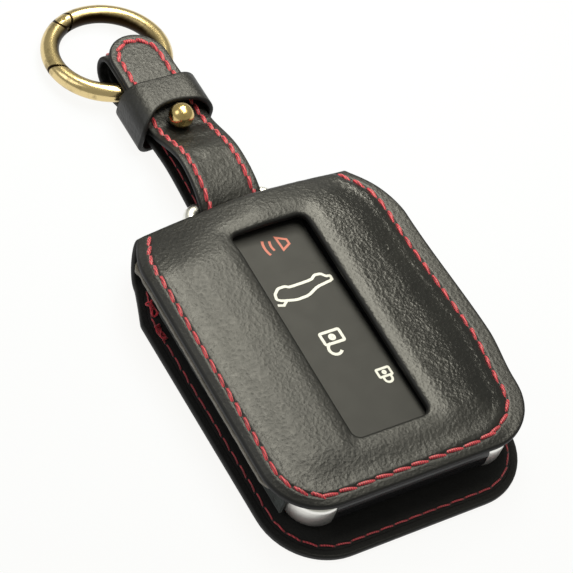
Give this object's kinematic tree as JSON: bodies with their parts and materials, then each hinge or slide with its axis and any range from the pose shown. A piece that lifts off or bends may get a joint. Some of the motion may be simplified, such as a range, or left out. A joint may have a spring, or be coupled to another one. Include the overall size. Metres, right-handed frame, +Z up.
{
  "type": "key fob cover",
  "caption": "Stitched black leather cover folded round a button key fob, with a buttoned strap, a sliding keeper and a spring-gate ring.",
  "frame": {"origin": "on the table, under the middle of the whole object's length and width", "axes": "+X across the cover to the right as seen from above with the ring away, +Y from the cover's open end to the ring, +Z up out of the button window"},
  "size_m": [0.052, 0.1228, 0.0127],
  "materials": {
    "hide": "soft semi-matt black hide",
    "suede": "black flocked inside",
    "front_lining": "pale felt with a raw edge",
    "skirt": "grey-green felt",
    "brass": "antique brass with dark wear",
    "pin": "turned",
    "spring": "drawn wire",
    "shell": "fine-grained black moulding",
    "rail": "satin plated",
    "bail": "bright plated",
    "button": "matt dark grey with printed icons",
    "board": "green solder mask",
    "cell": "brushed",
    "clip": "stamped",
    "switch": "stamped"
  },
  "bodies": {
    "fob": {"back_cover": "hide", "back_lining": "suede", "fob_front_shell": "shell", "fob_back_shell": "shell", "left_rail": "rail", "right_rail": "rail", "fob_bail": "bail", "circuit_board": "board", "coin_cell": "cell", "cell_clip": "clip", "button_switches": "switch"},
    "front": {"front_cover": "hide", "front_lining": "front_lining", "left_skirt": "skirt", "right_skirt": "skirt"},
    "strap": {"strap_outer": "hide", "strap_inner": "hide", "stud_ball": "brass", "stud_screw": "brass"},
    "keeper": {"strap_keeper": "hide"},
    "ring": {"ring_body": "brass", "gate_pin": "pin"},
    "gate": {"ring_gate": "brass", "gate_spring": "spring"},
    "horn": {"horn_button": "button"},
    "trunk": {"trunk_button": "button"},
    "unlock": {"unlock_button": "button"},
    "lock": {"lock_button": "button"}
  },
  "joints": [
    {"name": "cover_fold", "type": "hinge", "parent": "fob", "child": "front", "pos_m": [0, 0.00423, 0.01247], "axis": [-1, 0, 0], "range_deg": [0, 60]},
    {"name": "strap_swing", "type": "hinge", "parent": "fob", "child": "strap", "pos_m": [0, 0.00883, 0.0042], "axis": [1, 0, 0], "range_deg": [-60, 60]},
    {"name": "keeper_slide", "type": "slide", "parent": "strap", "child": "keeper", "axis": [0, 1, 0], "range_m": [0, 0.0005]},
    {"name": "ring_turn", "type": "hinge", "parent": "strap", "child": "ring", "pos_m": [-0.0036, 0.04893, 0.00298], "axis": [-0.0482, 0.1033, 0.9935], "range_deg": [-310, 50]},
    {"name": "gate_hinge", "type": "hinge", "parent": "ring", "child": "gate", "pos_m": [-0.00794, 0.05869, 0.00175], "axis": [-0.0482, 0.1033, 0.9935], "range_deg": [0, 24], "stiffness_Nm_per_rad": 0.02},
    {"name": "lock_press", "type": "slide", "parent": "fob", "child": "lock", "axis": [0, 0, -1], "range_m": [0, 0.00035], "stiffness_N_per_m": 1500},
    {"name": "unlock_press", "type": "slide", "parent": "fob", "child": "unlock", "axis": [0, 0, -1], "range_m": [0, 0.00035], "stiffness_N_per_m": 1500},
    {"name": "trunk_press", "type": "slide", "parent": "fob", "child": "trunk", "axis": [0, 0, -1], "range_m": [0, 0.00035], "stiffness_N_per_m": 1500},
    {"name": "horn_press", "type": "slide", "parent": "fob", "child": "horn", "axis": [0, 0, -1], "range_m": [0, 0.00035], "stiffness_N_per_m": 1500}
  ]
}
